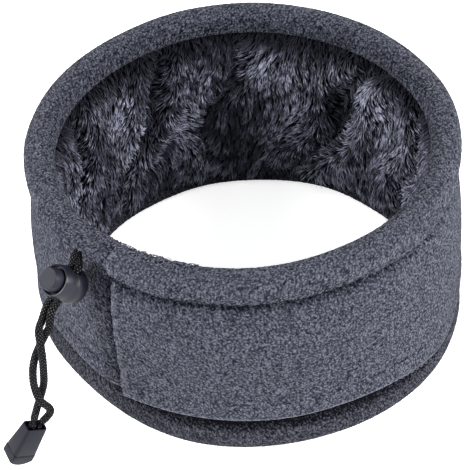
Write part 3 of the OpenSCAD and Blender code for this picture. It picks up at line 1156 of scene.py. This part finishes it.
def makeShell():
    turn = allTurns(tubeSizes["columns"])
    outline, _ = smoothLine(
        [(0, 0), (2.4, 0.02), (3.0, 0.12), (3, 0.3), (3, 0.5), (3, 0.7), (3, 0.85), (3, 0.94),
         (2.6, 0.985), (1.6, 1.0), (0.5, 0.99), (-0.3, 0.95), (-0.5, 0.8), (-0.5, 0.5), (-0.5, 0.2)],
        tubeSizes["shellRows"] * 6)
    # rows are spaced evenly down the outside and loosely inside
    weight = np.where(outline[:, 0] > 2.2, 1.0, 0.35)
    steps = np.hypot(np.diff(outline[:, 0]), np.diff(outline[:, 1] * tubeSizes["shellHeight"]))
    reach = np.concatenate([[0], np.cumsum(steps * weight[1:])])
    pick = np.searchsorted(reach, np.linspace(0, reach[-1], tubeSizes["shellRows"], endpoint=False))
    thick, down = outline[pick, 0][:, None], outline[pick, 1][:, None]
    turns = np.broadcast_to(turn[None, :], (tubeSizes["shellRows"], len(turn)))
    top, foot = grooveHeight(turns) - 0.3, hemHeight(turns)
    height = top + (foot - top) * down
    inner = tubeSizes["inner"]
    radius = inner + (bodyRadius(turns, height) - inner) * thick / 3
    tuck = 2.6 * bump(height, top + 0.5, 3.2) * (thick > 0)
    points = polar(radius - tuck, turns, height)
    along = np.broadcast_to(down * tubeSizes["shellHeight"], turns.shape)
    points, nap = addNap(points, along, turns, 21, tubeSizes["curlHeight"], tubeSizes["curl"])
    piece = ringMesh("fleece_shell", points, fleece)
    setValues(piece, "nap", paintShadeAndHighlight(nap, turns, height))
    return piece


def exitDent(turn, height):
    # how far the fleece draws in round the cord's exit
    away = wrapTurn(turn - cordSizes["exitTurn"]) * 1.47
    return np.exp(-((away / 2.6) ** 2) - ((height - 85.4) / 2.4) ** 2)


def makeCasing():
    turn = allTurns(tubeSizes["columns"])
    outline, along = smoothLine(
        [(-1.2, 0.0), (4.0, 0.02), (5.3, 0.16), (6.0, 0.38), (5.7, 0.66), (4.3, 0.87), (2.0, 0.98),
         (-0.6, 1.0), (-3.4, 0.93), (-5.3, 0.74), (-6.1, 0.5), (-5.9, 0.26), (-4.4, 0.1)],
        tubeSizes["casingRows"])
    turns = np.broadcast_to(turn[None, :], (tubeSizes["casingRows"], len(turn)))
    out, rise = outline[:, 0][:, None], outline[:, 1][:, None]
    outside = softStep(out * 1.2)
    foot = grooveHeight(turns) * outside + casingSizes["innerFoot"] * (1 - outside) + 0.2
    top = casingSizes["top"] + 0.45 * softWaves(turns, 0 * turns, 6, 6, 31)
    height = foot + (top - foot) * rise
    ripple = 0.35 * softWaves(turns, height, 8, 16, 32) + 0.4 * softWaves(turns, height, 6, 5, 33)
    radius = casingSizes["middle"] + out * (1 + 0.02 * ripple) + ripple * 0.8
    radius = radius + casingSizes["seamShare"] * seamStep(turns, height) * (out > 0)
    radius = radius - casingSizes["exitDent"] * exitDent(turns, height) * (out > 0)
    points = polar(radius, turns, height)
    points, nap = addNap(points, np.broadcast_to(along[:, None], turns.shape) * 6, turns, 41,
                         tubeSizes["curlHeight"] * 0.9, tubeSizes["curl"] * 0.95)
    piece = ringMesh("fleece_casing", points, fleece)
    # painted shade: darker on the casing's inner side and round its back
    nap = nap - 0.15 / (1 + np.exp(out + 2.0)) - 0.03 * turnBump(turns, 90, 60)
    setValues(piece, "nap", paintShadeAndHighlight(nap, turns, height, 0.3))
    return piece


def bandRadius(turn):
    return (
        bandSizes["radius"] + bandSizes["oval"] * np.cos(np.radians(turn))
        - spotBump(turn, bandSizes["hollow"]) + spotBump(turn, bandSizes["leftSwell"])
        + spotBump(turn, bandSizes["rightSwell"])
        + bandSizes["wave"] * softWaves(turn, 0 * turn, 6, 9, 51)
    )


def makeBand():
    turn = allTurns(tubeSizes["columns"])
    outline, along = smoothLine(
        [(-3.6, 22), (-3.6, 18), (-2.2, 12.5), (0.1, 7.5), (0.9, 4.6), (0.3, 1.9), (-1.6, 0.5),
         (-5, 0.2), (-8, 0.4), (-9.9, 1.6), (-9.4, 3.4), (-7.4, 6.5), (-6, 10), (-6, 13.5),
         (-5.7, 16), (-5.3, 20)],
        tubeSizes["bandRows"])
    turns = np.broadcast_to(turn[None, :], (tubeSizes["bandRows"], len(turn)))
    height = np.broadcast_to(outline[:, 1][:, None], turns.shape)
    # the band reaches up under the shell's hem wherever the hem is high
    height = np.where(height > 8, 8 + (height - 8) * np.maximum(hemHeight(turns) - 3, 12) / 14, height)
    ripple = 0.3 * softWaves(turns, height, 8, 15, 52)
    lift = 0.25 + 0.25 * softWaves(turns, 0 * turns, 6, 7, 53) ** 2
    radius = bandRadius(turns) + outline[:, 0][:, None] + ripple
    points = polar(radius, turns, height + lift)
    points, nap = addNap(points, np.broadcast_to(along[:, None], turns.shape), turns, 61,
                         tubeSizes["curlHeight"] * 0.75, tubeSizes["curl"] * 0.85)
    points[..., 2] = np.maximum(points[..., 2], 0)
    piece = ringMesh("fleece_band", points, shadedBandFleece)
    setValues(piece, "nap", paintShadeAndHighlight(nap, turns, height))
    return piece


shell, casing, band = makeShell(), makeCasing(), makeBand()
for piece, node, slotName in (
    (shell, "outer_shell", "fleece"), (casing, "top_casing", "fleece"),
    (band, "bottom_band", "band_fleece"),
):
    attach(piece, "gaiter")
    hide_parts(node)
print("fleece is sewn")


# plush lining
liningSizes = {
    "columns": 560,
    "rows": 90,
    "top": 83.5,
    "foot": 8.5,
    "tufts": 54000,
    "overRim": 420,                      # tufts that peep over the rim at the front left
    "tuftLength": 4.6,
    "tuftWidth": 0.62,
    "clump": 2.7,                        # tufts lean together in locks of this size
    "pieces": 5,
    "radius": 74.6,
    "innermost": 71.2,
    "outermost": 78.6,
    "bandGap": 6.9,                      # from the band's outside to the lining
    "rimTurns": (-136, -104),
    "rimRadius": (73.6, 77.0),
    "lift": (24, 50),                    # how steeply the tufts stand, in degrees
}
# each tuft: how far along its rings are, how much it bends there, and its width and shade; the shade
# darkens towards the root as painted shade deep in the pile
tuftRings = {
    "marks": (0.0, 0.34, 0.68, 1.0),
    "bends": (1.35, 0.95, 0.62, 0.36),
    "widths": (1.0, 1.0, 0.72, 0.0),
    "shades": (0.05, 0.45, 0.85, 1.1),
}
# creases of the lining: turn at the top and at the bottom, width and depth
creases = [
    (113, 136, 8, 5.4), (45, 69, 9, 5.6), (150, 162, 8, 4.0), (18, 30, 7, 3.6), (92, 104, 7, 2.0),
    (-176, -168, 7, 3.0), (-6, 4, 8, 3.2), (-40, -52, 8, 3.2), (-84, -70, 8, 3.4), (-112, -124, 7, 3.2),
    (-146, -140, 7, 3.4),
]


def roomForLining(turn, height):
    # inner side of the band below and of the shell above
    low = softStep(-(height - hemHeight(turn) - 2) / 1.6)
    most = liningSizes["outermost"]
    return most + (bandRadius(turn) - liningSizes["bandGap"] - most) * low


def liningRadius(turn, height):
    # smaller is nearer the neck: soft folds between deep creases
    base = liningSizes["radius"] + 4.6 * bump(height, 86, 10) - 1.3 * bump(height, 9, 6)
    folds = -1.3 * softWaves(turn, height * 1.6, 9, 9, 71)
    folds = folds - 0.8 * softWaves(turn, height * 2.2, 9, 18, 72)
    depth = np.zeros(np.broadcast(turn, height).shape)
    for topTurn, footTurn, width, deep in creases:
        line = footTurn + (topTurn - footTurn) * (height - 12) / 60 + 3 * np.sin(height / 9 + topTurn)
        away = wrapTurn(turn - line) * 1.3
        depth += deep * np.exp(-((away / (width * 0.55)) ** 2))
        depth -= 0.5 * deep * np.exp(-(((np.abs(away) - width * 1.25) / (width * 0.7)) ** 2))
    radius = base + folds * 0.8 + depth * bump(height, 42, 44)
    return np.clip(radius, liningSizes["innermost"], roomForLining(turn, height) - 0.8)


def liningFoot(turn):
    return liningSizes["foot"] + 1.6 * softWaves(turn, 0 * turn, 7, 9, 73)


def makeLiningBase():
    turn = allTurns(liningSizes["columns"])
    outline, _ = smoothLine(
        [(0, 1), (0, 0.8), (0, 0.6), (0, 0.4), (0, 0.2), (0, 0.05), (0.6, 0.0), (2.0, 0.0), (2.8, 0.06),
         (3, 0.3), (3, 0.6), (3, 0.9), (1.5, 1.01)],
        liningSizes["rows"] * 5)
    steps = np.hypot(np.diff(outline[:, 0]), np.diff(outline[:, 1] * 75))
    reach = np.concatenate([[0], np.cumsum(steps)])
    pick = np.searchsorted(reach, np.linspace(0, reach[-1], liningSizes["rows"], endpoint=False))
    thick, rise = outline[pick, 0][:, None], outline[pick, 1][:, None]
    turns = np.broadcast_to(turn[None, :], (liningSizes["rows"], len(turn)))
    foot = liningFoot(turns)
    height = foot + (liningSizes["top"] - foot) * rise
    limit = roomForLining(turns, height) + thick * 0.1
    points = polar(np.minimum(liningRadius(turns, height) + 1.2 + thick * 0.5, limit), turns, height)
    piece = ringMesh("plush_backing", points, plush)
    # the backing gets the darkest root shade: painted shade deep in the pile
    setValues(piece, "shade", np.zeros(points.shape[:2]) + 0.01)
    return piece


def surfacePoint(turn, height):
    return polar(liningRadius(turn, height) + 1.0, turn, height) / mm


def surfaceFrame(turn, height):
    here = surfacePoint(turn, height)
    around = surfacePoint(turn + 0.4, height) - surfacePoint(turn - 0.4, height)
    upward = surfacePoint(turn, height + 0.4) - surfacePoint(turn, height - 0.4)
    around /= np.linalg.norm(around, axis=-1, keepdims=True)
    inward = np.cross(upward, around)
    inward /= np.linalg.norm(inward, axis=-1, keepdims=True)
    toNeck = -here * (1, 1, 0)
    flip = np.sign(np.sum(inward * toNeck, axis=-1, keepdims=True))
    inward = inward * flip
    upward = np.cross(inward, around)
    upward *= np.sign(upward[..., 2:3])
    return here, around, upward, inward


def clumpTips(turn, height, size, seed):
    # which lock each tuft belongs to, and where the lock's middle is
    girth = 2 * math.pi * 74
    count, deep = int(girth / size), int(90 / size) + 3
    table = np.random.RandomState(seed).rand(count, deep, 3)
    u, v = (turn + 180) / 360 * count, height / size + 1
    cellU, cellV = np.floor(u).astype(int), np.floor(v).astype(int)
    best = np.full(u.shape, 9.0)
    middle = np.zeros(u.shape + (2,))
    tint = np.zeros(u.shape)
    for stepU in (-1, 0, 1):
        for stepV in (-1, 0, 1):
            jitter = table[(cellU + stepU) % count, (cellV + stepV) % deep]
            awayU = cellU + stepU + jitter[..., 0] - u
            awayV = cellV + stepV + jitter[..., 1] - v
            far = np.hypot(awayU, awayV)
            closer = far < best
            best = np.where(closer, far, best)
            middle[closer] = np.stack([awayU, awayV], axis=-1)[closer] * size
            tint[closer] = jitter[..., 2][closer]
    return middle, tint


def makeTufts():
    rng = np.random.RandomState(91)
    total = liningSizes["tufts"]
    turn = rng.uniform(-180, 180, total)
    share = rng.uniform(0, 1, total)
    foot = liningFoot(turn)
    height = foot - 0.3 + (liningSizes["top"] + 1.0 - foot) * share
    here, around, upward, inward = surfaceFrame(turn, height)
    # the pile lies mostly downwards, swept to and fro, and falls away from the folds' crests
    sweep = 0.8 * softWaves(turn, height * 1.5, 8, 6, 74)
    sweep = sweep + 0.22 * softWaves(turn, height * 2.5, 8, 14, 75)
    slope = (liningRadius(turn + 1.2, height) - liningRadius(turn - 1.2, height)) / 3.1
    angle = sweep + np.clip(slope * 1.1, -0.9, 0.9) + rng.normal(0, 0.16, total)
    lay = -np.cos(angle)[:, None] * upward + np.sin(angle)[:, None] * around
    middle, tint = clumpTips(turn, height, liningSizes["clump"], 92)
    gather = middle[:, :1] * around + middle[:, 1:] * upward
    over = np.arange(total) < liningSizes["overRim"]
    turn[over] = rng.uniform(*liningSizes["rimTurns"], liningSizes["overRim"])
    rimFoot = rng.uniform(*liningSizes["rimRadius"], total)
    here = np.where(over[:, None], polar(rimFoot, turn, rimFoot * 0.35 + 64.7) / mm, here)
    radial = polar(0 * turn + 1, turn, 0 * turn) / mm
    around = np.where(over[:, None], np.cross((0, 0, 1), radial), around)
    inward = np.where(over[:, None], (0, 0, 1), inward)
    lay = np.where(over[:, None], radial + around * rng.normal(0, 0.7, total)[:, None], lay)
    lay /= np.linalg.norm(lay, axis=1, keepdims=True)
    length = liningSizes["tuftLength"] * rng.uniform(0.7, 1.25, total) * (0.8 + 0.45 * tint)
    length = np.where(over, length * 0.7, length * (1 - 0.25 * bump(height, 85, 8)))
    width = liningSizes["tuftWidth"] * rng.uniform(0.7, 1.3, total)
    lift = np.radians(rng.uniform(*liningSizes["lift"], total) + 16 * tint)
    # each tuft is drawn through three rings of three points and a tip
    marks, bends, widths = tuftRings["marks"], tuftRings["bends"], tuftRings["widths"]
    spine = [here - inward * 0.6]
    for k in range(1, 4):
        step = (marks[k] - marks[k - 1]) * length[:, None]
        tilt = (lift * bends[k])[:, None]
        spine.append(spine[-1] + step * (np.cos(tilt) * lay + np.sin(tilt) * inward))
    for k in range(4):
        spine[k] = spine[k] + gather * 0.7 * marks[k] ** 1.5
    across = np.cross(lay, inward)
    across /= np.linalg.norm(across, axis=-1, keepdims=True)
    rings = []
    for k in range(3):
        half = (width * widths[k] / 2)[:, None]
        rings += [spine[k] + half * across, spine[k] - half * across, spine[k] + half * 0.9 * inward]
    verts = np.stack(rings + [spine[3]], axis=1) * mm
    sides = []
    for k in range(2):
        a = 3 * k
        for i in range(3):
            j = (i + 1) % 3
            sides.append((a + i, a + j, a + 3 + j, a + 3 + i))
    caps = [(6, 7, 9), (7, 8, 9), (8, 6, 9), (2, 1, 0)]
    # painted shade: tufts set back in the creases and tufts just under the rim are darker
    creaseShade = np.clip((liningRadius(turn, height) - 74.2) / 4, 0, 1)
    light = softWaves(turn, height * 2.4, 9, 16, 76)
    tone = 0.36 + 0.44 * tint + rng.uniform(-0.1, 0.1, total) - 0.5 * creaseShade + 0.2 * light
    tone = np.clip(tone + 0.05 - 1.0 * bump(height, 86, 11), 0.02, 1)
    tone[over] = 0.5
    order = np.argsort(turn)
    parts = np.array_split(order, liningSizes["pieces"])
    pieces = []
    for number, part in enumerate(parts):
        base = (np.arange(len(part)) * 10)[:, None, None]
        quads = (base + np.array(sides)[None]).reshape(-1, 4).tolist()
        tips = (base + np.array(caps)[None]).reshape(-1, 3).tolist()
        piece = meshObject(
            "plush_tufts_" + str(number + 1), verts[part].reshape(-1, 3).tolist(), quads + tips, plush)
        turnOutwards(piece)
        ramp = np.repeat(tuftRings["shades"], (3, 3, 3, 1))
        shade = np.clip(ramp[None, :] * (tone[part][:, None] + 0.12), 0, 1)
        setValues(piece, "shade", shade)
        pieces.append(piece)
    return pieces


backing = makeLiningBase()
tufts = makeTufts()
for piece in [backing] + tufts:
    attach(piece, "gaiter")
    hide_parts("plush_lining")
print("plush lining is laid,", liningSizes["tufts"], "tufts")


# stitches
stitchSizes = {"length": 2.5, "pitch": 3.0, "width": 0.55, "dip": 0.22, "ring": 82}


def makeStitch():
    # one stitch: a soft bar that dips at both ends
    bpy.ops.mesh.primitive_uv_sphere_add(segments=8, ring_count=6, radius=0.5)
    stitch = bpy.context.object
    editMesh(stitch)
    bpy.ops.mesh.select_all(action="SELECT")
    bpy.ops.transform.rotate(value=math.pi / 2, orient_axis="X", center_override=(0, 0, 0))
    bpy.ops.transform.resize(
        value=(stitchSizes["width"] * mm, stitchSizes["length"] * mm, stitchSizes["width"] * mm),
        center_override=(0, 0, 0))
    selectWhere(stitch, "VERT", lambda co, v: abs(co.y) > stitchSizes["length"] * 0.3)
    bpy.ops.transform.translate(value=(-stitchSizes["dip"] * mm, 0, 0))
    leaveEdit()
    return stitch


def sewAlong(name, stitch, places, material):
    # places: a point and the two ways out and along for every stitch
    copies = []
    for place, out, along in places:
        copy = bpy.data.objects.new(name, stitch.data.copy())
        bpy.context.collection.objects.link(copy)
        up = out.cross(along).normalized()
        copy.data.transform(Matrix((out, along, up)).transposed().to_4x4())
        copy.data.transform(Matrix.Translation(place))
        copies.append(copy)
    bpy.ops.object.select_all(action="DESELECT")
    for copy in copies:
        copy.select_set(True)
    bpy.context.view_layer.objects.active = copies[0]
    bpy.ops.object.join()
    row = copies[0]
    row.name = name
    turnOutwards(row)
    finishPiece(row, name, Matrix.Identity(4), material, 60)
    return row


def ringStitches(heightAt, radiusAt):
    count = int(2 * math.pi * stitchSizes["ring"] / stitchSizes["pitch"])
    places = []
    for i in range(count):
        turn = 360 * i / count - 180
        one, two = np.array(turn), np.array(turn + 1.0)
        point = [Vector(polar(float(radiusAt(t)), float(t), float(heightAt(t)))) for t in (one, two)]
        out = Vector((math.cos(math.radians(turn)), math.sin(math.radians(turn)), 0))
        along = (point[1] - point[0]).normalized()
        out = (out - along * out.dot(along)).normalized()
        places.append((point[0], out, along))
    return places


def seamStitches():
    places = []
    turn = seamSizes["turn"] - 0.9
    out = Vector((math.cos(math.radians(turn)), math.sin(math.radians(turn)), 0))
    for height in np.arange(24, 74, stitchSizes["pitch"]):
        radius = float(bodyRadius(np.array(turn), np.array(height))) - 0.05
        places.append((Vector(polar(radius, turn, height)), out, Vector((0, 0, 1))))
    return places


stitch = makeStitch()
topStitches = sewAlong(
    "top_seam_stitches", stitch,
    ringStitches(lambda t: grooveHeight(t) - 0.1, lambda t: bodyRadius(t, grooveHeight(t)) - 2.4), thread)
bottomStitches = sewAlong(
    "bottom_seam_stitches", stitch,
    ringStitches(lambda t: hemHeight(t) - 1.0, lambda t: bandRadius(t) - 0.6), thread)
sideStitches = sewAlong("side_seam_stitches", stitch, seamStitches(), thread)
bpy.data.objects.remove(stitch, do_unlink=True)
for piece, node in (
    (topStitches, "top_seam_thread"), (bottomStitches, "bottom_seam_thread"),
    (sideStitches, "side_seam_thread"),
):
    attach(piece, "gaiter")
    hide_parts(node)
print("seams are stitched")
